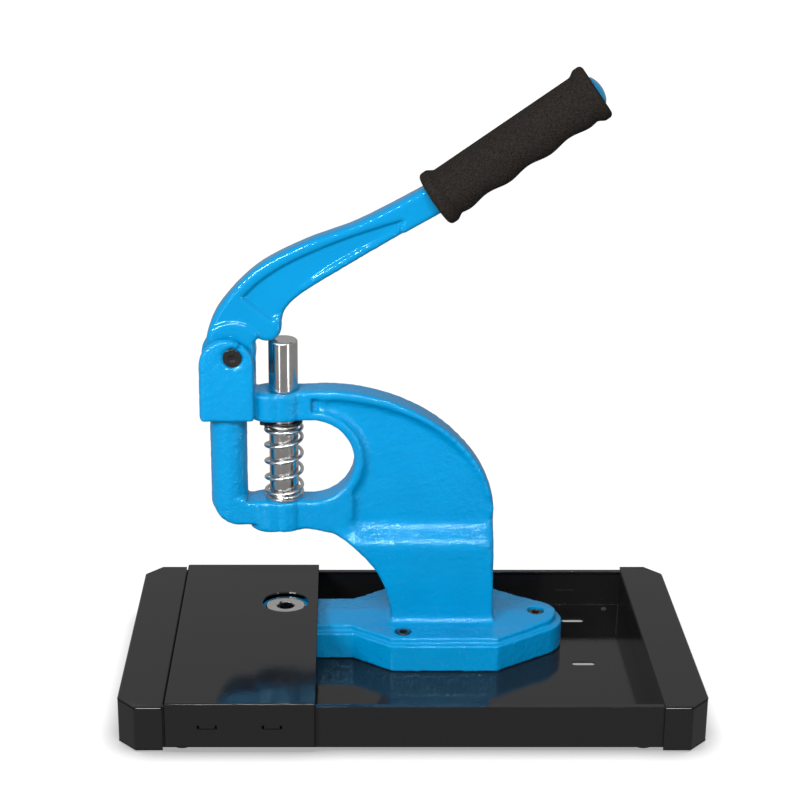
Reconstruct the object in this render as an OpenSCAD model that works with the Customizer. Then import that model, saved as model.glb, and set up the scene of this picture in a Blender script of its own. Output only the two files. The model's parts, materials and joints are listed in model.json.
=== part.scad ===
// Hand lever die press on a folded sheet tray.
// Millimetres, +X right, +Y to the back, +Z up.
// The origin is on the table, under the middle of the tray.

/* [Tray] */
// Length of the folded pan, between its two end walls
pan_l = 320; // [310:2:330]
// Depth of the pan, over its front and back walls
pan_d = 210; // [206:1:214]
// Height of the pan's walls above the table
pan_h = 31; // [30:0.5:32]
// Thickness of all the folded sheet
sheet = 1.2; // [1:0.1:1.4]
// Width of the inward lips on the front and back walls
pan_lip = 4; // [3:0.5:6]
// Length of each end cap
cap_l = 30; // [26:1:34]
// Length cut off the end cap's corners, along the tray
cap_cut_x = 12; // [8:1:14]
// Depth cut off the end cap's corners, across the tray
cap_cut_y = 13; // [8:1:16]
// How far the end caps stand proud of the pan's front and back
cap_proud = 2; // [1.6:0.1:2.4]
// Open seam between an end cap's top plate and its sides
cap_seam = 0.9; // [0.6:0.1:1.2]
// Length of the bench slots in the pan's floor
slot_l = 16; // [10:1:20]
// Width of the bench slots
slot_w = 5; // [4:0.5:6]
// Distance between the slots along the tray
slot_pitch_x = 246; // [240:2:250]
// Distance between the slots across the tray
slot_pitch_y = 68; // [60:2:76]
// Height of the rubber feet
foot_h = 2; // [1.6:0.1:2.5]

/* [Die cover] */
// Length of the loose cover plate over the die seat
cover_l = 96.5; // [92:0.5:98]
// Height of the cover's top face above the table
cover_top = 34.5; // [34:0.1:36]
// Diameter of the hole over the die seat
cover_hole_d = 32.5; // [30:0.5:36]
// Length of the catch slots in the cover's flanges
catch_l = 13; // [11:0.5:15]

/* [Press frame] */
// Centre plane of the casting, behind the middle of the tray
cast_y = 43; // [41:0.5:45]
// Plunger axis, along the tray
plunger_x = -85.5; // [-86:0.1:-85]
// Thickness of the web inside the rims
web_t = 12; // [10:1:14]
// Thickness of the rims round the web
rim_t = 22; // [18:1:24]
// Thickness of the lower body
body_t = 34; // [30:1:36]
// Height of the casting's highest rim
arch_top = 196; // [194:0.5:198]
// Radius of the round bar in front of the window
column_r = 12.7; // [12.2:0.1:13]
// Radius of the two plunger bosses
boss_r = 15; // [14:0.5:16]
// Thickness of the clevis over both cheeks
clevis_t = 36; // [34:0.5:38]
// Width of the clevis slot
clevis_slot = 20.6; // [20.4:0.1:21]

/* [Lever] */
// Pivot of the lever, along the tray
pivot_x = -119; // [-119.5:0.1:-118.5]
// Height of the pivot
pivot_z = 222; // [221.5:0.1:222.5]
// Thickness of the lever's arm
arm_t = 16; // [14:1:18]
// Thickness of the hub in the clevis
hub_t = 20; // [18:0.5:20.2]
// Depth of the pocket in each side of the arm
pocket_depth = 3; // [1:0.5:5]
// Slope of the grip
grip_angle = 35; // [33:1:37]
// Length of the foam grip
grip_l = 127; // [115:1:135]
// Diameter of the foam grip between its collars
grip_d = 35; // [30:0.5:36]
// Diameter of the grip's end collars
collar_d = 39; // [37:0.5:42]

/* [Plunger and spring] */
// Diameter of the plunger
plunger_d = 20; // [18:0.5:20]
// Radial running clearance of plunger and pivot bolt
running = 0.05; // [0.02:0.01:0.1]
// Outer diameter of the return spring
spring_d = 27.5; // [26:0.5:28.5]
// Diameter of the spring wire
wire_d = 2.5; // [2:0.1:2.8]
// Working turns of the spring, between its closed end turns
spring_turns = 3.75; // [3:0.25:5]

/* [Hidden] */
$fn = 96;
grow = 0.01;

// Tray
pan_x = pan_l / 2;
pan_y = pan_d / 2;
floor_top = foot_h + sheet;
cap_x0 = pan_x + 0.4;
cap_x1 = pan_x + cap_l;
cap_y = pan_y + cap_proud;
cap_top = pan_h + 0.2 + sheet;
cap_side_top = pan_h + 0.2 - cap_seam;
cap_bottom = foot_h - 1;
foot_at = [pan_x - 11.5, pan_y - 9];
foot_r = 7;
foot_stem_r = 2;

// Die cover
cover_x0 = 1 - pan_x;
cover_y = pan_y + 1.3 + sheet;
cover_bottom = foot_h + 2;
catch_at = [-131.7, -90.2];
catch_z = [16.2, 19.2];

// Casting
die_z = 32;
lower_slab_top = 22.5;
upper_slab_top = 26.5;
slab_ledge = 4.5;
ridge_w = 26;
ridge_h = 2;
neck_w = 22;
plate_w = 42;
plate_x = [-11, 62];
neck_x = -38;
toe_x = 86;
toe_r = 20;
body_right = 60;
arch_centre = [-55, 105];
arch_power = 1.9;
rim_w = 6;
rim_past = 0.3;
throat_centre = [-72, 25];
throat_size = [62, 69.2];
throat_power = 1.94;
shoulder_z = [86, 97];
bar_left = -104;
window_centre = [-66.5, 145];
window_r = 29.5;
window_left = -110.5;
column_x = -123.3;
elbow_r = 20.5;
foot_z = [98, 118];
spot_face = 0.5;
lower_boss_z = [93.2, window_centre[1] - window_r + spot_face];
upper_boss_z = [window_centre[1] + window_r - spot_face, 194.5];
clevis_x = [-142, -104.4];
clevis_base = 176;
clevis_crown = 18.6;
clevis_crown_z = 215.5;
clevis_floor = 204;

// Fasteners
bolt_r = 4;
bolt_head_r = 6.3;
bolt_head_h = 5;
bolt_sink = 4.6;
nut_w = 13;
nut_h = 6.5;
washer_h = 1.6;
screw_at = [[-3, -31.5], [-3, 31.5], [92, 0]];
screw_r = 3;
screw_head_r = 5;
screw_head_h = 6;
screw_seat = 19;
screw_end = 5;
rivet_nut_top = 11;
set_screw_z = 17;
set_screw_r = 3;

// Die seat
seat_flange_r = 13.9;
seat_shank_r = 11;
seat_bore_r = 6;
seat_z = [12, 27.5];

// Plunger stack, from the bottom
plunger_r = plunger_d / 2;
plunger_z = [97, 229.9];
die_hole_r = 3.4;
die_hole_l = 18;
seat_washer_r = 13.5;
seat_washer_h = 1.5;
clip_washer_r = 12.6;
clip_washer_h = 0.8;
clip_gap = 2;
clip_h = 1.8;
clip_z = [upper_boss_z[0] - clip_gap - clip_h, upper_boss_z[0] - clip_gap];
clip_lugs_at = 212;
spring_z = [lower_boss_z[1] + seat_washer_h, clip_z[0] - clip_washer_h];
spring_start = -90;
clip_groove = 0.6;

// Lever
hub_r = 15.5;
hub_step_r = 23;
nose_centre = [-96, 240];
nose_r = 10;
grip_from = [15.4, 325.7];
core_r = 11;
bar_h = 20;
bar_above = 1.4;
bar_sunk = 5;

// Points on an arc, from angle a0 to angle a1
function arc(centre, r, a0, a1, steps) =
    [for (i = [0 : steps]) let (a = a0 + (a1 - a0) * i / steps) centre + r * [cos(a), sin(a)]];

// Points on a quarter of an oval, from its top to its right end
function quarter(centre, size, power, steps = 28) =
    [for (i = [0 : steps]) let (a = 90 * i / steps)
        centre + [size[0] * pow(sin(a), 2 / power), size[1] * pow(cos(a), 2 / power)]];

function reversed(list) = [for (i = [len(list) - 1 : -1 : 0]) list[i]];

// One stretch of a smooth curve, between b and c
function bend(a, b, c, d, t) =
    0.5 * (2 * b + (c - a) * t + (2 * a - 5 * b + 4 * c - d) * t * t
    + (3 * b - a - 3 * c + d) * t * t * t);

// A smooth curve through every point of a short list
function curve(p, steps = 6) = let (last = len(p) - 1) concat(
    [for (i = [0 : last - 1], k = [0 : steps - 1])
        bend(p[max(i - 1, 0)], p[i], p[i + 1], p[min(i + 2, last)], k / steps)],
    [p[last]]);

// Where the line from a corner touches a round end on the axis y = 0
function touch(corner, centre_x, r) =
    let (v = corner - [centre_x, 0], a = atan2(v[1], v[0]) - acos(r / norm(v)))
    [centre_x + r * cos(a), r * sin(a)];

// Gives an outline drawn in X and Z its thickness, on the casting's centre plane
module upright(t) {
    translate([0, cast_y, 0]) rotate([90, 0, 0]) linear_extrude(t, center = true) children();
}

// Puts things at a place on the casting's centre plane
module on_cast(x, y = 0, z = 0) {
    translate([x, cast_y + y, z]) children();
}

module mirrored_x() {
    children();
    mirror([1, 0, 0]) children();
}

module mirrored_y() {
    children();
    mirror([0, 1, 0]) children();
}

module block(low, high) {
    translate(low) cube(high - low);
}

// ---- Tray ----

module bench_slot() {
    translate([0, 0, foot_h - 1]) linear_extrude(sheet + 2) {
        square([slot_l - slot_w, slot_w], center = true);
        for (side = [-1, 1]) translate([side * (slot_l - slot_w) / 2, 0]) circle(d = slot_w);
    }
}

module tray_pan() {
    color("#1b1b1d") difference() {
        union() {
            block([-pan_x - sheet, -pan_y, foot_h], [pan_x + sheet, pan_y, floor_top]);
            mirrored_x() block([pan_x, -pan_y, foot_h], [pan_x + sheet, pan_y, pan_h]);
            mirrored_y() {
                block([-pan_x - sheet, -pan_y, foot_h], [pan_x + sheet, sheet - pan_y, pan_h]);
                block([-pan_x, -pan_y, pan_h - sheet], [pan_x, pan_lip - pan_y, pan_h]);
                for (x = catch_at) block([x - 5, -pan_y - 2.2, catch_z[0] + 0.4],
                                         [x + 5, sheet - pan_y, catch_z[1]]);
            }
        }
        for (x = [-1, 1], y = [-1, 1])
            on_cast(x * slot_pitch_x / 2, y * slot_pitch_y / 2) bench_slot();
        for (p = screw_at) on_cast(p[0], p[1]) cylinder(r = 4.6, h = 20);
        mirrored_x() mirrored_y() translate(concat(foot_at, 0)) cylinder(r = foot_stem_r, h = 20);
    }
}

// Plan of an end cap, drawn inwards by the given amount
module cap_plan(inset = 0) {
    y = cap_y - inset;
    x = cap_x1 - inset;
    cut_x = x - cap_cut_x + inset * 0.4;
    polygon([[cap_x0, -y], [cut_x, -y], [x, cap_cut_y - cap_y + inset * 0.4],
             [x, cap_y - cap_cut_y - inset * 0.4], [cut_x, y], [cap_x0, y]]);
}

module end_cap() {
    color("#1b1b1d") {
        translate([0, 0, cap_top - sheet]) linear_extrude(sheet) cap_plan();
        difference() {
            translate([0, 0, cap_bottom]) linear_extrude(cap_side_top - cap_bottom) cap_plan();
            translate([-grow, 0, 0]) linear_extrude(cap_top) cap_plan(sheet);
            block([cap_x0 - 1, -cap_y + sheet + grow, 0],
                  [cap_x0 + 5, cap_y - sheet - grow, cap_top]);
        }
        block([cap_x1 - sheet, cap_cut_y - cap_y + 2, cap_side_top - 1],
              [cap_x1, cap_y - cap_cut_y - 2, cap_top]);
    }
}

module right_end_cap() { end_cap(); }

module left_end_cap() { mirror([1, 0, 0]) end_cap(); }

module rubber_feet() {
    color("#222222") mirrored_x() mirrored_y() translate(concat(foot_at, 0)) {
        cylinder(r = foot_r, h = foot_h);
        cylinder(r = foot_stem_r - 0.02, h = floor_top + 0.8);
    }
}

module die_cover_plate() {
    x1 = cover_x0 + cover_l;
    color("#1b1b1d") difference() {
        union() {
            block([cover_x0, -cover_y, cover_top - sheet], [x1, cover_y, cover_top]);
            mirrored_y()
                block([cover_x0, -cover_y, cover_bottom], [x1, sheet - cover_y, cover_top]);
        }
        on_cast(plunger_x) cylinder(d = cover_hole_d, h = 60);
        for (x = catch_at) translate([x, 0, (catch_z[0] + catch_z[1]) / 2])
            cube([catch_l, 2 * cover_y + 2, catch_z[1] - catch_z[0]], center = true);
    }
}

// ---- Casting ----

// Plan of the base, drawn outwards by the given amount
module base_plan(out = 0) {
    w = plate_w + out;
    n = neck_w + out;
    r = toe_r + out;
    t = touch([plate_x[1], w], toe_x, r);
    toe = atan2(t[1], t[0] - toe_x);
    side = [[neck_x, n], [plate_x[0], w], [plate_x[1], w]];
    polygon(concat(
        side,
        arc([toe_x, 0], r, toe, -toe, 24),
        [for (p = reversed(side)) [p[0], -p[1]]],
        arc([plunger_x, 0], n, 270, 90, 24)));
}

// The base's top rises a little from both sides to the casting's centre plane
module base_ridge() {
    intersection() {
        on_cast(0, 0, floor_top) linear_extrude(60) base_plan();
        translate([-150, cast_y, 0]) rotate([90, 0, 90]) linear_extrude(300)
            polygon([[-ridge_w, upper_slab_top - 5], [-ridge_w, upper_slab_top],
                     [0, upper_slab_top + ridge_h], [ridge_w, upper_slab_top],
                     [ridge_w, upper_slab_top - 5]]);
    }
}

// Side view of the C-shaped frame, without the column
module frame_outline() {
    arch = quarter(arch_centre, [body_right, arch_top] - arch_centre, arch_power);
    throat = quarter(throat_centre, throat_size, throat_power);
    difference() {
        polygon(concat([[bar_left, arch_top - 1.5]], arch,
                       [[body_right, floor_top + 1], [throat_centre[0] + throat_size[0], floor_top + 1]],
                       reversed(throat), [[bar_left, lower_boss_z[0] + 2]]));
        window_outline(0);
    }
}

module window_outline(out) {
    translate([window_left, window_centre[1] - window_r - out])
        square([window_centre[0] - window_left, 2 * (window_r + out)]);
    polygon(arc(window_centre, window_r + out, -90, 90, 36));
}

// Side view of the recess that leaves rims round the web, and runs out at the right
module recess_outline() {
    size = [body_right + rim_past, arch_top - rim_w] - arch_centre;
    difference() {
        polygon(concat([[-66, arch_top - rim_w]], quarter(arch_centre, size, arch_power),
                       [[body_right + rim_past, shoulder_z[0] - 4], [-39, shoulder_z[0] - 4],
                        [-38, 117], window_centre]));
        window_outline(rim_w);
    }
}

// The lower body is thick, and slopes back to the web at its shoulders
module shoulder_profile() {
    low = body_t / 2;
    high = web_t / 2;
    translate([-60, cast_y, 0]) rotate([90, 0, 90]) linear_extrude(body_right + 60)
        polygon([[-low, floor_top + 1], [-low, shoulder_z[0]], [-high, shoulder_z[1]],
                 [high, shoulder_z[1]], [low, shoulder_z[0]], [low, floor_top + 1]]);
}

module column() {
    on_cast(column_x, 0, foot_z[0] + 12) cylinder(r = column_r, h = clevis_base - foot_z[0] - 8);
    left = column_x - column_r;
    intersection() {
        upright(2 * column_r) polygon(concat(
            arc([left + elbow_r, foot_z[0] + elbow_r], elbow_r, 180, 270, 16),
            [[-90, foot_z[0]], [-90, foot_z[1] - 3], [left + 2 * column_r, foot_z[1] - 3],
             [left + 2 * column_r - 1, foot_z[0] + elbow_r]]));
        on_cast(0) linear_extrude(200) polygon(concat(
            arc([column_x, 0], column_r - 0.2, 90, 270, 24), [[-90, 0.4 - column_r],
            [-90, column_r - 0.4]]));
    }
}

// A boss round the plunger that reaches left to the column
module boss(z, reach) {
    h = z[1] - z[0];
    for (x = [plunger_x, plunger_x - reach]) on_cast(x, 0, z[0]) cylinder(r = boss_r, h = h);
    on_cast(plunger_x - reach / 2, 0, z[0] + h / 2)
        cube([reach, 2 * boss_r - 1, h], center = true);
}

module clevis() {
    mid = (clevis_x[0] + clevis_x[1]) / 2;
    difference() {
        upright(clevis_t) polygon(concat(
            [[clevis_x[0], clevis_base], [clevis_x[1], clevis_base]],
            arc([mid, clevis_crown_z], clevis_crown, 0, 180, 32)));
        on_cast(mid, 0, clevis_floor + 50) cube([60, clevis_slot, 100], center = true);
    }
}

module frame_bores() {
    on_cast(plunger_x, 0, 90) cylinder(r = plunger_r + running, h = 110);
    on_cast(plunger_x, 0, seat_z[0] - 2) cylinder(r = seat_shank_r, h = 40);
    on_cast(plunger_x, 0, seat_z[1]) cylinder(r = seat_flange_r + 0.1, h = 10);
    on_cast(plunger_x - 40, 0, set_screw_z) rotate([0, 90, 0]) cylinder(r = set_screw_r, h = 35);
    on_cast(pivot_x, -clevis_t, pivot_z) rotate([-90, 0, 0])
        cylinder(r = bolt_r + running, h = 2 * clevis_t);
    on_cast(pivot_x, -clevis_t / 2 - 10, pivot_z) rotate([-90, 0, 0])
        cylinder(r = bolt_head_r + 0.2, h = 10 + bolt_sink);
    for (p = screw_at) on_cast(p[0], p[1]) {
        cylinder(r = screw_r + 0.3, h = 40);
        cylinder(r = 5.2, h = rivet_nut_top + 0.5);
        translate([0, 0, screw_seat]) cylinder(r = 6, h = 20);
    }
}

module press_frame() {
    color("#0b93dc") difference() {
        union() {
            on_cast(0, 0, floor_top) {
                linear_extrude(lower_slab_top - floor_top) base_plan(slab_ledge);
                linear_extrude(upper_slab_top - floor_top) base_plan();
            }
            base_ridge();
            on_cast(plunger_x, 0, floor_top + 5) cylinder(r = 17.5, h = 25.5 - floor_top);
            upright(web_t) frame_outline();
            upright(rim_t) difference() {
                frame_outline();
                recess_outline();
            }
            intersection() {
                upright(body_t) frame_outline();
                shoulder_profile();
            }
            column();
            boss(lower_boss_z, 9);
            boss(upper_boss_z, 8);
            clevis();
        }
        frame_bores();
    }
}

module base_screws() {
    color("#202020") for (p = screw_at) on_cast(p[0], p[1]) difference() {
        union() {
            translate([0, 0, screw_end])
                cylinder(r = screw_r - 0.05, h = screw_seat - screw_end + 2);
            translate([0, 0, screw_seat + washer_h]) cylinder(r = screw_head_r, h = screw_head_h);
        }
        translate([0, 0, screw_seat + washer_h + 3]) cylinder(d = 5.77, h = 10, $fn = 6);
    }
}

module base_washers() {
    color("#3a3a3c") for (p = screw_at) on_cast(p[0], p[1], screw_seat) difference() {
        cylinder(r = screw_head_r - 0.1, h = washer_h);
        translate([0, 0, -1]) cylinder(r = screw_r + 0.1, h = washer_h + 2);
    }
}

module base_rivet_nuts() {
    color("#b8b8b4") for (p = screw_at) on_cast(p[0], p[1]) difference() {
        union() {
            translate([0, 0, foot_h - 1.2]) cylinder(r = 6.5, h = 1.2);
            translate([0, 0, foot_h - 1]) cylinder(r = 4.5, h = rivet_nut_top - foot_h + 1);
        }
        cylinder(r = screw_r, h = 30);
    }
}

module die_seat() {
    color("#c9c9c6") on_cast(plunger_x) difference() {
        union() {
            translate([0, 0, seat_z[0]]) cylinder(r = seat_shank_r - 0.02, h = die_z - seat_z[0] - 1);
            translate([0, 0, seat_z[1]]) cylinder(r = seat_flange_r, h = die_z - seat_z[1] - 0.6);
            translate([0, 0, die_z - 0.6])
                cylinder(r1 = seat_flange_r, r2 = seat_flange_r - 0.6, h = 0.6);
        }
        translate([0, 0, 5]) cylinder(r = seat_bore_r, h = 40);
        translate([0, 0, die_z - 0.8]) cylinder(r1 = seat_bore_r, r2 = seat_bore_r + 1, h = 1);
        rotate(-50) translate([seat_flange_r - 2, -1.5, die_z - 2]) cube([5, 3, 5]);
        translate([-40, 0, set_screw_z]) rotate([0, 90, 0]) cylinder(r = set_screw_r, h = 40);
    }
}

module die_seat_screw() {
    color("#202020") on_cast(plunger_x, 0, set_screw_z) rotate([0, -90, 0]) difference() {
        translate([0, 0, seat_bore_r + 0.6]) cylinder(r = set_screw_r - 0.05, h = 14);
        translate([0, 0, seat_bore_r + 11]) cylinder(d = 3.46, h = 10, $fn = 6);
    }
}

// ---- Plunger and spring ----

module plunger() {
    h = plunger_z[1] - plunger_z[0];
    color("#cfd0d0") on_cast(plunger_x, 0, plunger_z[0]) difference() {
        union() {
            cylinder(r1 = plunger_r - 0.8, r2 = plunger_r, h = 0.8);
            translate([0, 0, 0.8]) cylinder(r = plunger_r, h = h - 1.8);
            translate([0, 0, h - 1]) cylinder(r1 = plunger_r, r2 = plunger_r - 1, h = 1);
        }
        translate([0, 0, -1]) cylinder(r = die_hole_r, h = die_hole_l + 1);
        translate([0, 0, clip_z[0] - plunger_z[0]]) difference() {
            cylinder(r = plunger_r + 1, h = clip_z[1] - clip_z[0] + 0.1);
            cylinder(r = plunger_r - clip_groove, h = 5);
        }
    }
}

module plunger_circlip() {
    h = clip_z[1] - clip_z[0];
    color("#b9bcbe") on_cast(plunger_x, 0, clip_z[0]) rotate(clip_lugs_at) difference() {
        union() {
            translate([-1, 0, 0]) cylinder(r = plunger_r + 2.2, h = h);
            for (side = [-1, 1]) rotate(side * 13) {
                translate([plunger_r, -2.2, 0]) cube([4.6, 4.4, h]);
                translate([plunger_r + 4.6, 0, 0]) cylinder(r = 2.4, h = h);
            }
        }
        translate([0, 0, -1]) cylinder(r = plunger_r - clip_groove + 0.02, h = 5);
        translate([0, -1, -1]) cube([30, 2, 5]);
        for (side = [-1, 1]) rotate(side * 13)
            translate([plunger_r + 4.4, 0, -1]) cylinder(r = 1.1, h = 5);
    }
}

module washer(outer, inner, h) {
    difference() {
        cylinder(r = outer, h = h);
        translate([0, 0, -1]) cylinder(r = inner, h = h + 2);
    }
}

module spring_washer_upper() {
    color("#c2c4c4") on_cast(plunger_x, 0, spring_z[1])
        washer(clip_washer_r, plunger_r + 0.15, clip_washer_h);
}

module spring_washer_lower() {
    color("#c2c4c4") on_cast(plunger_x, 0, lower_boss_z[1])
        washer(seat_washer_r, plunger_r + 0.4, seat_washer_h);
}

// Height of the wire's centre after a number of turns
function wire_rise(turn) =
    let (closed = wire_d + 0.1,
         pitch = (spring_z[1] - spring_z[0] - wire_d - 2 * closed) / spring_turns)
    wire_d / 2 + closed * min(turn, 1) + pitch * min(max(turn - 1, 0), spring_turns)
    + closed * max(turn - 1 - spring_turns, 0);

module return_spring() {
    sides = 10;
    steps = 24 * (spring_turns + 2);
    wire_r = wire_d / 2 - 0.01;
    coil_r = (spring_d - wire_d) / 2;
    points = [for (i = [0 : steps], k = [0 : sides - 1])
        let (turn = i / 24, a = 360 * turn, b = 360 * k / sides, r = coil_r + wire_r * cos(b))
        [r * cos(a), r * sin(a), wire_rise(turn) + wire_r * sin(b)]];
    skin = [for (i = [0 : steps - 1], k = [0 : sides - 1]) let (n = (k + 1) % sides)
        [i * sides + k, i * sides + n, (i + 1) * sides + n, (i + 1) * sides + k]];
    ends = [[for (k = [sides - 1 : -1 : 0]) k], [for (k = [0 : sides - 1]) steps * sides + k]];
    color("#d4d5d5") on_cast(plunger_x, 0, spring_z[0]) rotate(spring_start)
        polyhedron(points, concat(skin, ends), convexity = 10);
}

// ---- Lever ----

module arm_outline() {
    slope = [cos(grip_angle), sin(grip_angle)];
    up = [-slope[1], slope[0]];
    across = up * bar_h / 2;
    bar_mid = grip_from + bar_above * up;
    bar_end = bar_mid + (bar_sunk - 1) * slope;
    pivot = [pivot_x, pivot_z];
    top = curve([[-136.4, 224], [-136, 236], [-126.7, 256], [-102.5, 281.2], [-70.3, 298.6],
                 [-34.2, 312.4], bar_mid + across]);
    under = curve([bar_mid - across, [-9.6, 301.4], [-43.6, 281.4], [-71.4, 263.3], [-83.2, 252],
                   [-86, 243]]);
    polygon(concat([pivot], top, [bar_end + across, bar_end - across], under,
                   [nose_centre, [-104, 230], [-104, 224]]));
    translate(nose_centre) circle(r = nose_r);
    translate(pivot) circle(r = hub_r);
}

module pocket_outline() {
    polygon(concat(
        curve([[-111, 261], [-98, 273], [-76, 286.5], [-42, 301], [-6, 313]]),
        curve([[-9, 307.5], [-40, 291], [-62, 277], [-78, 264], [-92, 246]])));
}

module along_grip() {
    on_cast(grip_from[0], 0, grip_from[1]) rotate([0, 90 - grip_angle, 0]) children();
}

module hand_lever() {
    tip = 130.5;
    dome_r = 19;
    color("#0b93dc") difference() {
        union() {
            upright(arm_t) arm_outline();
            upright(hub_t) intersection() {
                arm_outline();
                translate([pivot_x, pivot_z]) circle(r = hub_step_r);
            }
            along_grip() rotate_extrude() polygon(concat(
                [[0, 1.5], [core_r, 1.5]],
                arc([0, tip - dome_r], dome_r, acos(core_r / dome_r), 90, 12)));
        }
        for (side = [-1, 1]) translate([0, side * (arm_t - pocket_depth), 0])
            upright(arm_t) pocket_outline();
        on_cast(pivot_x, -40, pivot_z) rotate([-90, 0, 0]) cylinder(r = bolt_r + running, h = 80);
    }
}

module lever_grip() {
    bore = core_r + 0.02;
    r = grip_d / 2;
    c = collar_d / 2;
    mouth = bar_h / 2 + bar_above + 3.1;
    color("#2a2725") along_grip() rotate_extrude() polygon([
        [bore, bar_sunk], [mouth, bar_sunk], [mouth, 0], [c - 3, 0], [c, 3], [c, 6], [r, 11],
        [r, grip_l - 11], [c, grip_l - 6], [c, grip_l - 3], [c - 3, grip_l], [bore, grip_l]]);
}

// ---- Pivot ----

module pivot_bolt() {
    color("#202020") on_cast(pivot_x, bolt_sink - clevis_t / 2, pivot_z) rotate([-90, 0, 0])
        difference() {
            union() {
                translate([0, 0, -bolt_head_h]) cylinder(r = bolt_head_r, h = bolt_head_h);
                translate([0, 0, -1])
                    cylinder(r = bolt_r, h = clevis_t - bolt_sink + washer_h + nut_h + 3);
            }
            translate([0, 0, -bolt_head_h - 1]) cylinder(d = 5.77, h = 4, $fn = 6);
        }
}

module pivot_washer() {
    color("#b8b8b4") on_cast(pivot_x, clevis_t / 2, pivot_z) rotate([-90, 0, 0])
        washer(8, bolt_r + 0.2, washer_h);
}

module pivot_nut() {
    color("#b8b8b4") on_cast(pivot_x, clevis_t / 2 + washer_h, pivot_z) rotate([-90, 0, 0])
        difference() {
            intersection() {
                cylinder(d = nut_w / cos(30), h = nut_h, $fn = 6);
                cylinder(r1 = nut_w / 2 + 4.5, r2 = nut_w / 2 + 0.3, h = nut_h);
            }
            translate([0, 0, -1]) cylinder(r = bolt_r + 0.02, h = nut_h + 2);
        }
}

tray_pan();
left_end_cap();
right_end_cap();
rubber_feet();
die_cover_plate();
press_frame();
base_screws();
base_washers();
base_rivet_nuts();
die_seat();
die_seat_screw();
plunger();
plunger_circlip();
spring_washer_upper();
return_spring();
spring_washer_lower();
hand_lever();
lever_grip();
pivot_bolt();
pivot_washer();
pivot_nut();
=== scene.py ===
"""The looks of the hand lever die press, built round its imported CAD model. Lengths are in metres."""

import json
import math

import bmesh
import bpy
import numpy as np
import openvdb as vdb
from mathutils import Matrix, Vector

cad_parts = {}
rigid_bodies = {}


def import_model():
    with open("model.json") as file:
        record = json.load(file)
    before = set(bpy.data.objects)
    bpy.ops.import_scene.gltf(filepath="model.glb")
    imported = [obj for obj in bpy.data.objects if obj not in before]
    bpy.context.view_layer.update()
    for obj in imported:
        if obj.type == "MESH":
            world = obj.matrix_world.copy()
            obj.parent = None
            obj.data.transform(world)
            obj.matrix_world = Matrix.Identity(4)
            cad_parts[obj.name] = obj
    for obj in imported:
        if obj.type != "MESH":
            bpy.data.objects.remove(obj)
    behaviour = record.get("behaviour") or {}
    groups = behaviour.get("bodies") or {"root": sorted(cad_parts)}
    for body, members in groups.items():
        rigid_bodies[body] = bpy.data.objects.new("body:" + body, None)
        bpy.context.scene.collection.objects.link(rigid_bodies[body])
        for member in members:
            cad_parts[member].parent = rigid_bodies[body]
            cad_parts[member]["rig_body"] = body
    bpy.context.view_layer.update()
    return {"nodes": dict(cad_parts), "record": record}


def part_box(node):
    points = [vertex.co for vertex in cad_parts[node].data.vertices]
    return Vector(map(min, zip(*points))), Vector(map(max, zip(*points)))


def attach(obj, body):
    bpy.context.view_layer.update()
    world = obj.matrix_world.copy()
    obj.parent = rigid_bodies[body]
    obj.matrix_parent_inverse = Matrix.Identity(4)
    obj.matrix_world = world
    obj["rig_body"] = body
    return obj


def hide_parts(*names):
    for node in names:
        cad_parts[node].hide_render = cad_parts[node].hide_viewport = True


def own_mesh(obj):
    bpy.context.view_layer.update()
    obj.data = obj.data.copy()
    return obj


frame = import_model()


# ---- Places and sizes that several pieces share ----

def centre(node):
    low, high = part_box(node)
    return (low + high) / 2


PLUNGER = centre("plunger")
PIVOT = centre("pivot_washer")
CAST_Y = PLUNGER.y
SCREW_PLACES = [Vector((-0.003, CAST_Y - 0.0315, 0)), Vector((-0.003, CAST_Y + 0.0315, 0)),
                Vector((0.092, CAST_Y, 0))]
SHEET = 0.0012
AIM = (-0.03, 0.04, 0.15)


# ---- Camera, lights and floor ----

def add_camera():
    """In front of the press, looking down on it a little."""
    look_down = math.radians(19.42)
    camera = bpy.data.cameras.new("camera")
    camera.lens, camera.sensor_width, camera.shift_x = 85.5, 36, 0.0725
    holder = bpy.data.objects.new("camera", camera)
    bpy.context.scene.collection.objects.link(holder)
    holder.location = (-0.0455, -1.1812, 0.6178)
    holder.rotation_euler = (math.pi / 2 - look_down, 0, 0)
    bpy.context.scene.camera = holder


def add_light(name, place, aim, size, power):
    light = bpy.data.lights.new(name, "AREA")
    light.shape, light.size, light.size_y = "RECTANGLE", size[0], size[1]
    light.energy = power
    holder = bpy.data.objects.new(name, light)
    bpy.context.scene.collection.objects.link(holder)
    holder.location = place
    holder.rotation_euler = (Vector(aim) - Vector(place)).to_track_quat("-Z", "Y").to_euler()


def add_strip(turn, width, power):
    """An upright strip light near the plunger, turned round it in degrees from the front. It shows as a
    bright band along the polished steel."""
    away, reach, middle_z, height = math.radians(turn), 0.55, 0.21, 0.40
    place = Vector((PLUNGER.x + reach * math.sin(away), PLUNGER.y - reach * math.cos(away), middle_z))
    add_light("strip", place, (PLUNGER.x, PLUNGER.y, middle_z), (width, height), power)


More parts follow.
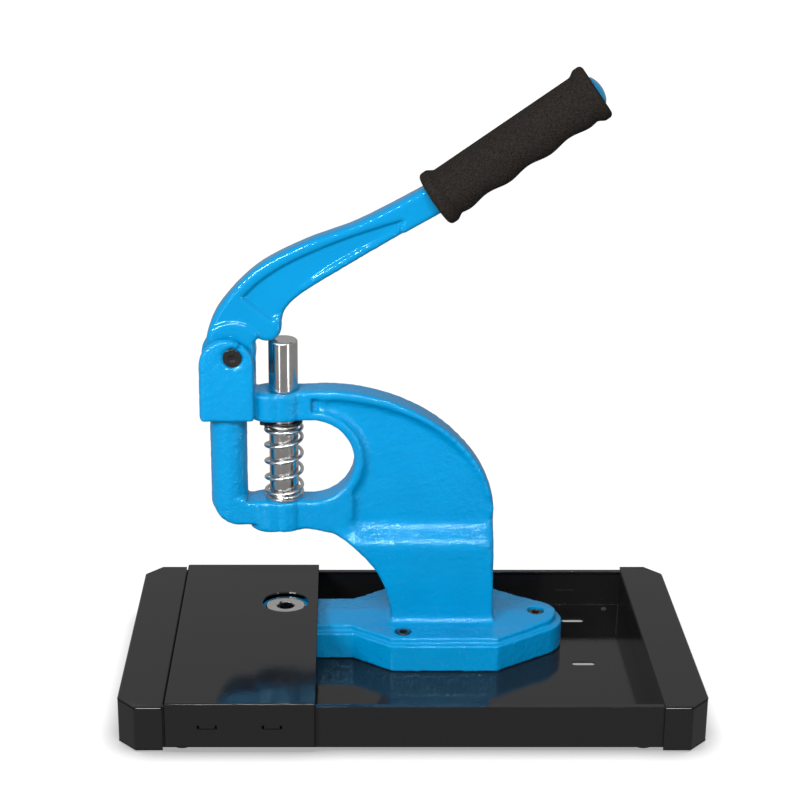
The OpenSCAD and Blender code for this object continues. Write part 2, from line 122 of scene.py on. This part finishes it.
def add_world(lighting, mirrored):
    """A white backdrop. lighting is how much it lights surfaces, and mirrored is how bright it is in
    reflections."""
    world = bpy.data.worlds.new("studio")
    bpy.context.scene.world = world
    world.use_nodes = True
    tree = world.node_tree
    ray = tree.nodes.new("ShaderNodeLightPath").outputs
    strength = 1.0
    for seen_by, brightness in (("Is Diffuse Ray", lighting), ("Is Glossy Ray", mirrored)):
        pick = tree.nodes.new("ShaderNodeMix")
        tree.links.new(ray[seen_by], pick.inputs[0])
        if isinstance(strength, float):
            pick.inputs[2].default_value = strength
        else:
            tree.links.new(strength, pick.inputs[2])
        pick.inputs[3].default_value = brightness
        strength = pick.outputs[0]
    tree.nodes["Background"].inputs["Color"].default_value = (1, 1, 1, 1)
    tree.links.new(strength, tree.nodes["Background"].inputs["Strength"])


def add_floor(mirrored):
    """White paper. The camera sees it evenly white, but for the soft shadow where the object stands close to
    it, and mirrored is how bright it is in reflections."""
    mesh = bpy.data.meshes.new("floor")
    mesh.from_pydata([(-6, -6, 0), (6, -6, 0), (6, 6, 0), (-6, 6, 0)], [], [(0, 1, 2, 3)])
    floor = bpy.data.objects.new("floor", mesh)
    bpy.context.scene.collection.objects.link(floor)
    paper = surface("white_floor", (0.45, 0.45, 0.45), roughness=1.0)
    ray = wire(paper, "ShaderNodeLightPath").outputs
    # Painted shadow: what the camera sees of the floor is its glow, dimmed by ambient occlusion where the
    # object stands close to it.
    shadow_reach = 0.022
    openness = wire(paper, "ShaderNodeAmbientOcclusion", {"Distance": shadow_reach}, samples=16).outputs["AO"]
    brightness = spread(paper, openness, 0.45, 0.9, 0.4, 1.05)
    white = wire(paper, "ShaderNodeEmission", {"Strength": brightness}).outputs[0]
    grey = wire(paper, "ShaderNodeEmission", {"Strength": mirrored}).outputs[0]
    shader = paper.node_tree.nodes["Principled BSDF"].outputs[0]
    for seen_by, look in (("Is Camera Ray", white), ("Is Glossy Ray", grey)):
        shader = wire(paper, "ShaderNodeMixShader", {0: ray[seen_by], 1: shader, 2: look}).outputs[0]
    paper.node_tree.links.new(shader, paper.node_tree.nodes["Material Output"].inputs["Surface"])
    mesh.materials.append(paper)


# ---- Materials ----

def surface(name, colour, **values):
    """A Principled material. Each value is set on the socket that its name says."""
    material = bpy.data.materials.new(name)
    material.use_nodes = True
    shader = material.node_tree.nodes["Principled BSDF"]
    shader.inputs["Base Color"].default_value = (*colour, 1)
    for socket, value in values.items():
        shader.inputs[socket.replace("_", " ").title().replace("Ior", "IOR")].default_value = value
    return material


def wire(material, kind, inputs=None, **settings):
    """Adds a node, sets its properties, and links or sets its inputs."""
    tree = material.node_tree
    node = tree.nodes.new(kind)
    for name, value in settings.items():
        setattr(node, name, value)
    for socket, value in (inputs or {}).items():
        if isinstance(value, bpy.types.NodeSocket):
            tree.links.new(value, node.inputs[socket])
        else:
            node.inputs[socket].default_value = value
    return node


def place_of(material, stretch=(1, 1, 1)):
    """Object coordinates, stretched along each axis."""
    place = wire(material, "ShaderNodeTexCoord").outputs["Object"]
    return wire(material, "ShaderNodeMapping", {"Vector": place, "Scale": stretch}).outputs["Vector"]


def noise(material, size, detail=2.0, stretch=(1, 1, 1), roughness=0.5):
    """Cloudy noise whose lumps are about size metres across."""
    return wire(material, "ShaderNodeTexNoise", {
        "Vector": place_of(material, stretch), "Scale": 1 / size, "Detail": detail,
        "Roughness": roughness}).outputs["Fac"]


def spread(material, value, low, high, to_low=0.0, to_high=1.0):
    """Maps a value from one range to another, and holds it inside."""
    return wire(material, "ShaderNodeMapRange", {
        "Value": value, "From Min": low, "From Max": high, "To Min": to_low,
        "To Max": to_high}).outputs["Result"]


def shade_between(material, value, dark, light):
    """Colours the surface between two colours, by a value from 0 to 1."""
    mix = wire(material, "ShaderNodeMix", {0: value, 6: (*dark, 1), 7: (*light, 1)}, data_type="RGBA")
    shader = material.node_tree.nodes["Principled BSDF"]
    material.node_tree.links.new(mix.outputs[2], shader.inputs["Base Color"])


def roughen(material, value):
    shader = material.node_tree.nodes["Principled BSDF"]
    material.node_tree.links.new(value, shader.inputs["Roughness"])


def bump(material, *layers):
    """Stacks bump layers, each a height from 0 to 1 and its depth in metres."""
    normal = None
    for height, depth in layers:
        inputs = {"Height": height, "Distance": depth, "Strength": 1.0}
        if normal:
            inputs["Normal"] = normal
        normal = wire(material, "ShaderNodeBump", inputs).outputs["Normal"]
    shader = material.node_tree.nodes["Principled BSDF"]
    material.node_tree.links.new(normal, shader.inputs["Normal"])


def gloss_blue(name, colour):
    return surface(name, colour, roughness=0.08, ior=1.5, specular_tint=(0.5, 0.85, 1, 1))


def cast_paint():
    """Gloss blue paint over a rough casting: lumpy, with fine grain."""
    m = gloss_blue("cast_blue_paint", (0.0, 0.172, 0.38))
    shade_between(m, spread(m, noise(m, 0.03, 3), 0.3, 0.7), (0.0, 0.164, 0.365), (0.0, 0.18, 0.395))
    bump(m, (noise(m, 0.0030, 2), 0.0003), (noise(m, 0.0014, 2, roughness=0.6), 0.0004))
    return m


def lever_paint():
    """The same paint on the smoother lever."""
    m = gloss_blue("lever_blue_paint", (0.0, 0.16, 0.355))
    shade_between(m, spread(m, noise(m, 0.04, 2), 0.3, 0.7), (0.0, 0.154, 0.34), (0.0, 0.167, 0.365))
    bump(m, (noise(m, 0.005, 2), 0.0003), (noise(m, 0.0016, 2), 0.00005))
    return m


def black_paint():
    """Gloss black paint on flat sheet, with a faint orange peel."""
    m = surface("black_gloss_paint", (0.006, 0.006, 0.0065), roughness=0.1, ior=1.45)
    roughen(m, spread(m, noise(m, 0.05, 3), 0.3, 0.7, 0.07, 0.13))
    bump(m, (noise(m, 0.004, 2), 0.00003))
    return m


def steel(name, colour, roughness, turned=(1, 1, 1)):
    """Bright steel with fine tool marks. A low number in turned stretches them along that axis."""
    m = surface(name, colour, metallic=1.0, roughness=roughness)
    marks = noise(m, 0.0006, 4, stretch=turned, roughness=0.7)
    roughen(m, spread(m, marks, 0.3, 0.7, roughness * 0.75, roughness * 1.35))
    shade_between(m, spread(m, noise(m, 0.008, 3), 0.3, 0.7), [c * 0.9 for c in colour], colour)
    bump(m, (marks, 0.00003))
    return m


def black_oxide():
    """The dark, oiled finish of the screws."""
    m = surface("black_oxide", (0.012, 0.011, 0.011), roughness=0.2, ior=1.7)
    shade_between(m, spread(m, noise(m, 0.002, 3), 0.3, 0.7), (0.003, 0.003, 0.0032), (0.009, 0.008, 0.0075))
    bump(m, (noise(m, 0.0008, 3), 0.00003))
    return m


def foam():
    """Matte closed-cell foam with open pores."""
    m = surface("black_foam", (0.02, 0.018, 0.017), roughness=0.95, ior=1.2, sheen_weight=0)
    grain = noise(m, 0.0014, 4, roughness=0.7)
    pores = wire(m, "ShaderNodeTexVoronoi", {"Vector": place_of(m), "Scale": 900.0}).outputs["Distance"]
    shade_between(m, spread(m, grain, 0.35, 0.7), (0.006, 0.0048, 0.0042), (0.02, 0.016, 0.0135))
    bump(m, (grain, 0.0009), (pores, 0.0005))
    return m


def rubber():
    m = surface("black_rubber", (0.02, 0.02, 0.02), roughness=0.8)
    bump(m, (noise(m, 0.001, 2), 0.00005))
    return m


# ---- Meshes ----

def piece(name, mesh, body, slot, material, *nodes):
    """Turns a mesh into a piece that rides on a body and stands for CAD nodes."""
    made = bpy.data.objects.new(name, mesh)
    bpy.context.scene.collection.objects.link(made)
    mesh.materials.clear()
    mesh.materials.append(material)
    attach(made, body)
    if nodes:
        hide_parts(*nodes)
    return made


def smooth_by_angle(mesh, degrees):
    """Smooth shading, with the edges that turn by more than the angle kept sharp."""
    mesh.shade_smooth()
    grid = bmesh.new()
    grid.from_mesh(mesh)
    for edge in grid.edges:
        edge.smooth = edge.calc_face_angle(0) < math.radians(degrees)
    grid.to_mesh(mesh)
    grid.free()


def cad_mesh(node):
    """A copy of a CAD node's mesh, welded, with its flat faces made whole."""
    grid = bmesh.new()
    grid.from_mesh(frame["nodes"][node].data)
    bmesh.ops.remove_doubles(grid, verts=grid.verts, dist=1e-6)
    bmesh.ops.dissolve_limit(grid, angle_limit=math.radians(0.5), verts=grid.verts, edges=grid.edges,
                             delimit={"NORMAL"})
    mesh = bpy.data.meshes.new(node + "_looks")
    grid.to_mesh(mesh)
    grid.free()
    return mesh


def body_of(node):
    return frame["nodes"][node]["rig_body"]


def slot_of(node):
    return next(s["material_slot"] for s in frame["record"]["subparts"] if s["node"] == node)


def broken(made, width, segments, angle=35, weighted=False):
    """Rounds the edges that turn by more than the angle, or by their bevel weights if weighted."""
    edges = made.modifiers.new("edges", "BEVEL")
    edges.width, edges.segments, edges.use_clamp_overlap = width, segments, not weighted
    edges.limit_method = "WEIGHT" if weighted else "ANGLE"
    edges.angle_limit = math.radians(angle)
    apply_modifiers(made)


def flat_shaded(made):
    """Keeps the flat faces flat in the shading, between their rounded edges."""
    smooth_by_angle(made.data, 40)
    made.modifiers.new("flat_faces", "WEIGHTED_NORMAL").keep_sharp = True
    apply_modifiers(made)


def bevelled(node, width, material):
    """Stands for a CAD node with the same shape and broken edges."""
    made = piece(node + "_detailed", cad_mesh(node), body_of(node), slot_of(node), material, node)
    broken(made, width, 3)
    flat_shaded(made)


def mean_width(face):
    """The width of a long face, from its area and its longest edge."""
    return face.calc_area() / max(edge.calc_length() for edge in face.edges)


def folded(node, material):
    """Stands for a folded sheet node: its folds are round, and its cut edges are just broken."""
    fold, cut_edge, shortest_fold = 0.0013, 0.00018, 0.012
    made = piece(node + "_folded", cad_mesh(node), body_of(node), slot_of(node), material, node)
    grid = bmesh.new()
    grid.from_mesh(made.data)
    weight = grid.edges.layers.float.new("bevel_weight_edge")
    cut_faces = {face for face in grid.faces if mean_width(face) < SHEET * 1.2}
    for edge in grid.edges:
        if edge.calc_face_angle(0) > math.radians(20) and edge.calc_length() > shortest_fold:
            edge[weight] = 0.0 if cut_faces & set(edge.link_faces) else 1.0
    grid.to_mesh(made.data)
    grid.free()
    broken(made, fold, 4, weighted=True)
    broken(made, cut_edge, 2, angle=50)
    flat_shaded(made)


def apply_modifiers(made):
    """Makes a piece's mesh what its modifiers show."""
    bpy.context.view_layer.update()
    shown = made.evaluated_get(bpy.context.evaluated_depsgraph_get())
    mesh = bpy.data.meshes.new_from_object(shown)
    made.modifiers.clear()
    made.data = mesh


# ---- Castings ----

def blur(field, sigma):
    """A Gaussian blur along each axis, with sigma in cells."""
    reach = int(math.ceil(3 * sigma))
    weights = np.exp(-0.5 * (np.arange(-reach, reach + 1) / sigma) ** 2)
    weights /= weights.sum()
    for axis in range(3):
        padded = np.pad(field, [(reach, reach) if a == axis else (0, 0) for a in range(3)], "edge")
        total = np.zeros_like(field)
        for k, w in enumerate(weights):
            cut = [slice(None)] * 3
            cut[axis] = slice(k, k + field.shape[axis])
            total += np.float32(w) * padded[tuple(cut)]
        field = total
    return field


def distances(points, faces, cell, low, high, band):
    """The signed distance to a closed surface, in the cells from low to high. faces is a pair, of triangles
    and quads."""
    grid = vdb.FloatGrid.createLevelSetFromPolygons(points, *faces, vdb.createLinearTransform(cell), band)
    field = np.zeros(high - low + 1, np.float32)
    grid.copyToArray(field, tuple(int(v) for v in low))
    return field


def skin(field, cell, low, level=0.0):
    """The surface where a field has the given level, as its points, triangles and quads."""
    grid = vdb.FloatGrid(float(field.max()))
    grid.copyFromArray(field, tuple(int(v) for v in low))
    grid.transform = vdb.createLinearTransform(cell)
    return grid.convertToPolygons(level, 0.0)


def grown_and_back(field, cell, low, radius):
    """The field grown by the radius, then shrunk by it, which fills its hollow corners to that radius. With a
    radius below 0 it shrinks first, which rounds its edges."""
    points, thirds, quads = skin(field, cell, low, radius)
    high = low + np.array(field.shape) - 1
    return distances(points, (thirds, quads), cell, low, high, abs(radius) / cell + 3) + np.float32(radius)


def ramp(values, start, end):
    """A smooth step from 0 at start to 1 at end."""
    t = np.clip((values - start) / (end - start), 0, 1)
    return t * t * (3 - 2 * t)


def everywhere(x, y, z):
    return np.float32(1)


def cast_mesh(name, node, cell, fillets, edges, blurs, lumps, seed, plugs=()):
    """A casting's skin: the CAD shape with its hollow corners and edges rounded, and a lumpy surface.
    fillets, edges and blurs are (radius, share) pairs, where share gives how much of it is taken at a place.
    lumps are (size, depth) pairs. plugs are (point, axis, radius, from, to) rods that fill the bores
    meanwhile."""
    source = frame["nodes"][node].data
    source.calc_loop_triangles()
    points = np.array([v.co for v in source.vertices], np.float32)
    triangles = np.array([t.vertices for t in source.loop_triangles], np.uint32)
    band = 3 + max(radius for radius, share in fillets + edges) / cell
    low = np.floor(points.min(0) / cell - band).astype(int)
    high = np.ceil(points.max(0) / cell + band).astype(int)
    solid = distances(points, (triangles, np.zeros((0, 4), np.uint32)), cell, low, high, band)
    place = [(np.arange(low[a], high[a] + 1) * cell).astype(np.float32) for a in range(3)]
    place = np.meshgrid(*place, indexing="ij", sparse=True)
    for plug in plugs:
        solid = np.minimum(solid, rod(place, *plug))
    field = solid
    for radius, share in fillets:
        filled = grown_and_back(solid, cell, low, radius)
        field = field + (np.minimum(filled, field) - field) * share(*place)
    for radius, share in edges:
        rounded = grown_and_back(field, cell, low, -radius)
        field = field + (np.maximum(rounded, field) - field) * share(*place)
    for radius, share in blurs:
        field = field + (blur(field, radius / cell) - field) * share(*place)
    random = np.random.default_rng(seed)
    for size, depth in lumps:
        grain = blur(random.standard_normal(field.shape).astype(np.float32), size / cell)
        field += grain / grain.std() * depth
    corners, thirds, quads = skin(field, cell, low)
    mesh = bpy.data.meshes.new(name)
    mesh.from_pydata(corners.tolist(), [], [f[::-1] for f in quads.tolist() + thirds.tolist()])
    mesh.validate()
    mesh.shade_smooth()
    return mesh


def rod(place, point, axis, radius, start, end):
    """Distance to a rod along one axis, on the cells' places."""
    side = [a for a in range(3) if a != axis]
    across = np.sqrt((place[side[0]] - point[side[0]]) ** 2 + (place[side[1]] - point[side[1]]) ** 2) - radius
    along = np.maximum(start - place[axis], place[axis] - end)
    return np.maximum(across, along)


def cutter(point, axis, radius, start, end):
    """A cylinder to cut a bore with."""
    grid = bmesh.new()
    turn = Matrix.Rotation(math.pi / 2, 4, "X") if axis == 1 else Matrix.Identity(4)
    where = Vector(point)
    where[axis] = (start + end) / 2
    bmesh.ops.create_cone(grid, cap_ends=True, segments=64, radius1=radius, radius2=radius,
                          depth=end - start, matrix=Matrix.Translation(where) @ turn)
    mesh = bpy.data.meshes.new("cutter")
    grid.to_mesh(mesh)
    grid.free()
    return mesh


def bored(made, rods):
    """Cuts each bore with a clean edge."""
    for one in rods:
        tool = bpy.data.objects.new("cutter", cutter(*one))
        bpy.context.scene.collection.objects.link(tool)
        cut = made.modifiers.new("bore", "BOOLEAN")
        cut.operation, cut.solver, cut.object = "DIFFERENCE", "EXACT", tool
        apply_modifiers(made)
        bpy.data.objects.remove(tool)
    smooth_by_angle(made.data, 40)


def frame_looks(material):
    """The casting. Its bores are filled while its edges are rounded, and cut again after."""
    slab_top, seat_shelf, seat_floor, counterbore_floor = 0.0268, 0.0275, 0.010, 0.019
    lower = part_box("spring_washer_lower")[0].z
    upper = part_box("plunger_circlip")[1].z + 0.002
    cheek_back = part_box("pivot_washer")[0].y
    cheek_front = 2 * CAST_Y - cheek_back
    plugs = [(PLUNGER, 2, 0.0101, 0.0932, lower), (PLUNGER, 2, 0.0101, upper, 0.1945),
             (PLUNGER, 2, 0.0141, 0.008, seat_shelf),
             (PIVOT, 1, 0.0066, cheek_front, cheek_front + 0.0078),
             (PIVOT, 1, 0.0042, cheek_back - 0.0077, cheek_back)]
    plugs += [(place, 2, 0.0062, 0.008, slab_top) for place in SCREW_PLACES]
    bores = [(PLUNGER, 2, 0.01005, 0.09, 0.2), (PLUNGER, 2, 0.01402, seat_shelf, 0.05),
             (PLUNGER, 2, 0.01102, seat_floor, 0.05),
             (PIVOT, 1, 0.0065, cheek_front - 0.01, cheek_front + 0.0046),
             (PIVOT, 1, 0.00405, cheek_front - 0.01, cheek_back + 0.01)]
    bores += [(place, 2, 0.006, counterbore_floor, 0.04) for place in SCREW_PLACES]

    def web(x, y, z):
        return ramp(x, -0.070, -0.058) * ramp(z, 0.076, 0.086)

    def neck_foot(x, y, z):
        return ramp(z, slab_top, slab_top + 0.001) * (1 - ramp(z, 0.060, 0.070))

    def shoulder(x, y, z):
        return ramp(x, -0.060, -0.050) * ramp(z, 0.076, 0.082) * (1 - ramp(z, 0.100, 0.106))

    def above_base(x, y, z):
        return ramp(z, 0.050, 0.070)

    mesh = cast_mesh("cast_frame", "press_frame", 0.0008,
                     fillets=[(0.0035, neck_foot), (0.0060, web)], edges=[(0.0022, above_base)],
                     blurs=[(0.0006, everywhere), (0.0022, shoulder)],
                     lumps=[(0.0009, 0.00006), (0.004, 0.00005)], seed=3, plugs=plugs)
    made = piece("cast_frame", mesh, "frame", "blue_casting", material, "press_frame")
    bored(made, bores)


def lever_looks(material):
    """The lever, smoother than the casting, with its hub's bore filled and cut again like the casting's."""
    def pockets(x, y, z):
        return ramp(z, 0.241, 0.247)

    mesh = cast_mesh("cast_lever", "hand_lever", 0.0007,
                     fillets=[(0.0030, everywhere), (0.0090, pockets)], edges=[(0.0032, everywhere)],
                     blurs=[(0.0006, everywhere)], lumps=[(0.002, 0.00002)], seed=5,
                     plugs=[(PIVOT, 1, 0.0043, CAST_Y - 0.01, CAST_Y + 0.01)])
    made = piece("cast_lever", mesh, "lever", "blue_lever", material, "hand_lever")
    bored(made, [(PIVOT, 1, 0.00405, CAST_Y - 0.02, CAST_Y + 0.02)])


# ---- Grip ----

def grip_axis():
    """The grip's start at the lever's side, its direction and its length."""
    slope = math.radians(35)
    return Vector((0.0154, CAST_Y, 0.3257)), Vector((math.cos(slope), 0, math.sin(slope))), 0.127


def grip_looks(material):
    """A turned foam sleeve with a collar at each end and finger grooves along its lower side."""
    start, along, length = grip_axis()
    up = Vector((-along.z, 0, along.x))
    side = Vector((0, -1, 0))
    rings, turns = 180, 72
    grid = bmesh.new()
    bore, end_r, end_round = 0.0112, 0.0165, 0.003
    waist_r, collar_r, collar_length = 0.01675, 0.0195, 0.0115
    groove_depth, grooves = 0.0011, 4
    profile = [(bore, 0.004), (bore, 0.0)]
    profile += [(bore + (end_r - bore) * k / 4, 0.0) for k in range(1, 5)]
    profile += [(end_r + end_round * math.sin(a), end_round - end_round * math.cos(a))
                for a in (math.pi / 2 * k / 5 for k in range(1, 6))]
    for k in range(1, rings):
        s = end_round + (length - 2 * end_round) * k / rings
        edge = min(s, length - s)
        collar = ramp((collar_length - edge) / 0.006, 0, 1)
        profile.append((waist_r + (collar_r - waist_r) * collar, s))
    profile += [(end_r + end_round * math.cos(a), length - end_round + end_round * math.sin(a))
                for a in (math.pi / 2 * k / 5 for k in range(0, 6))]
    profile += [(end_r - (end_r - bore) * k / 4, length) for k in range(1, 5)]
    profile += [(bore, length - 0.004)]
    rows = []
    for r, s in profile:
        row = []
        inside = ramp(min(s, length - s) / 0.012 - 0.5, 0, 1)
        for k in range(turns):
            a = 2 * math.pi * k / turns
            out = up * math.cos(a) + side * math.sin(a)
            below = max(0.0, -math.cos(a)) ** 2
            waves = groove_depth * math.cos(2 * math.pi * (s / length * grooves)) * below * inside
            row.append(grid.verts.new(start + along * s + out * (r - waves * (r > 0.013))))
        rows.append(row)
    for a, b in zip(rows, rows[1:]):
        for k in range(turns):
            n = (k + 1) % turns
            grid.faces.new((a[k], a[n], b[n], b[k]))
    bmesh.ops.recalc_face_normals(grid, faces=grid.faces)
    mesh = bpy.data.meshes.new("foam_grip")
    grid.to_mesh(mesh)
    grid.free()
    mesh.shade_smooth()
    made = piece("foam_grip", mesh, "lever", "foam", material, "lever_grip")


# ---- Spring ----

def spring_looks(material):
    """A coil with closed, ground ends between the two washers."""
    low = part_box("spring_washer_lower")[1].z
    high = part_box("spring_washer_upper")[0].z
    outer = (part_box("return_spring")[1].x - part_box("return_spring")[0].x) / 2
    wire_r, turns = 0.00125, 3.75
    coil = outer - wire_r
    closed = 2.06 * wire_r
    pitch = (high - low - 2 * wire_r - 2 * closed) / turns
    per_turn, sides = 64, 20
    grid = bmesh.new()
    rows = []
    for i in range(int(per_turn * (turns + 2)) + 1):
        t = i / per_turn
        rise = closed * min(t, 1) + pitch * min(max(t - 1, 0), turns) + closed * max(t - 1 - turns, 0)
        a = 2 * math.pi * (t - 0.25)
        row = []
        for k in range(sides):
            b = 2 * math.pi * k / sides
            r = coil + wire_r * math.cos(b)
            z = low + wire_r + rise + wire_r * math.sin(b)
            z = min(max(z, low + 0.0001), high - 0.0001)
            row.append(grid.verts.new((PLUNGER.x + r * math.cos(a), PLUNGER.y + r * math.sin(a), z)))
        rows.append(row)
    for a, b in zip(rows, rows[1:]):
        for k in range(sides):
            grid.faces.new((a[k], a[(k + 1) % sides], b[(k + 1) % sides], b[k]))
    grid.faces.new(rows[0])
    grid.faces.new(rows[-1])
    bmesh.ops.recalc_face_normals(grid, faces=grid.faces)
    mesh = bpy.data.meshes.new("coil_spring")
    grid.to_mesh(mesh)
    grid.free()
    mesh.shade_smooth()
    made = piece("coil_spring", mesh, "frame", "spring_steel", material, "return_spring")
    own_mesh(made)


# ---- Build ----

bpy.context.scene.view_settings.view_transform = "Standard"
add_camera()
add_world(lighting=0.42, mirrored=0.40)
add_floor(mirrored=0.28)
add_light("key", (-0.95, -1.20, 0.92), AIM, (0.90, 0.14), 32)
add_light("front_top", (0.05, -1.04, 1.13), AIM, (0.70, 0.06), 19)
add_strip(turn=-27, width=0.04, power=0.26)
add_strip(turn=42, width=0.08, power=0.5)

blue = cast_paint()
black = black_paint()
oxide = black_oxide()
ground_steel = steel("ground_steel", (0.74, 0.73, 0.71), 0.13, turned=(0.02, 0.02, 1))
zinc = steel("zinc_plate", (0.62, 0.63, 0.64), 0.3)
wire_steel = steel("spring_wire", (0.7, 0.71, 0.71), 0.22)

frame_looks(blue)
lever_looks(lever_paint())
grip_looks(foam())
spring_looks(wire_steel)
for node in ("left_end_cap", "right_end_cap", "die_cover_plate"):
    folded(node, black)
bevelled("tray_pan", 0.0005, black)
for node in ("base_screws", "pivot_bolt", "die_seat_screw", "base_washers"):
    bevelled(node, 0.0003, oxide)
for node in ("plunger", "die_seat"):
    bevelled(node, 0.0004, ground_steel)
for node in ("spring_washer_upper", "spring_washer_lower", "base_rivet_nuts", "pivot_washer", "pivot_nut"):
    bevelled(node, 0.0002, zinc)
bevelled("plunger_circlip", 0.0002, oxide)
bevelled("rubber_feet", 0.0004, rubber())
